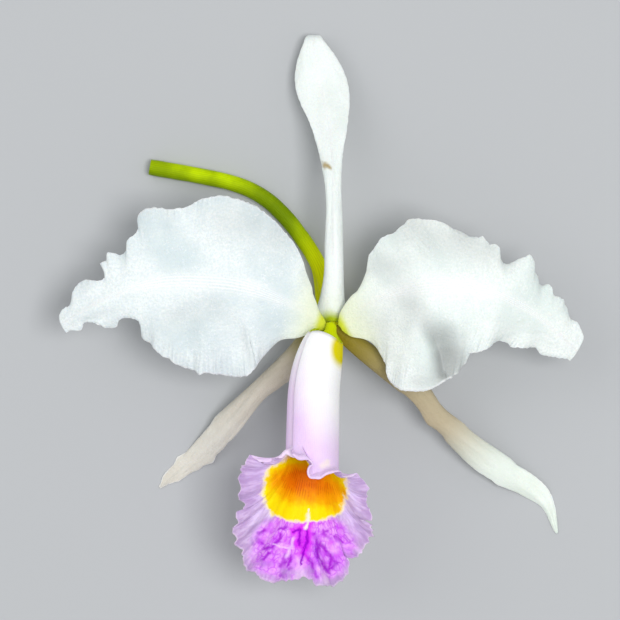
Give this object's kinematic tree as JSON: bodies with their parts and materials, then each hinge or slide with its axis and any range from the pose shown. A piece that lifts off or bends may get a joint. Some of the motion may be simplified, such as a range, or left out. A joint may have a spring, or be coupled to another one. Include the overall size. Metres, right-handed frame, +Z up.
{
  "type": "cattleya orchid bloom",
  "caption": "Orchid bloom laid face up: white petals and narrow sepals, a lilac frilled lip with an orange throat, and a cut green stalk.",
  "frame": {"origin": "middle of the bloom's box, at the surface that it lies on", "axes": "+Z up, the way the bloom faces; +Y along the dorsal sepal, away from the lip; +X towards the right petal as the bloom faces the viewer"},
  "size_m": [0.1504, 0.1588, 0.0517],
  "materials": {
    "sepal": "soft satin plant tissue, white shading to yellow green at the base",
    "petal": "soft satin plant tissue, cool white with a crystalline sparkle",
    "lip": "soft satin plant tissue, white tube, orange throat, veined purple lobe with a lilac margin",
    "column": "waxy yellow green plant tissue",
    "anther_cap": "waxy cream plant tissue",
    "pollinia": "waxy yellow",
    "stalk": "smooth green plant tissue"
  },
  "bodies": {
    "root": {"dorsal_sepal": "sepal", "lateral_sepal_left": "sepal", "lateral_sepal_right": "sepal", "petal_left": "petal", "petal_right": "petal", "lip": "lip", "column": "column", "anther_cap": "anther_cap", "pollinia": "pollinia", "stalk": "stalk"}
  },
  "joints": []
}
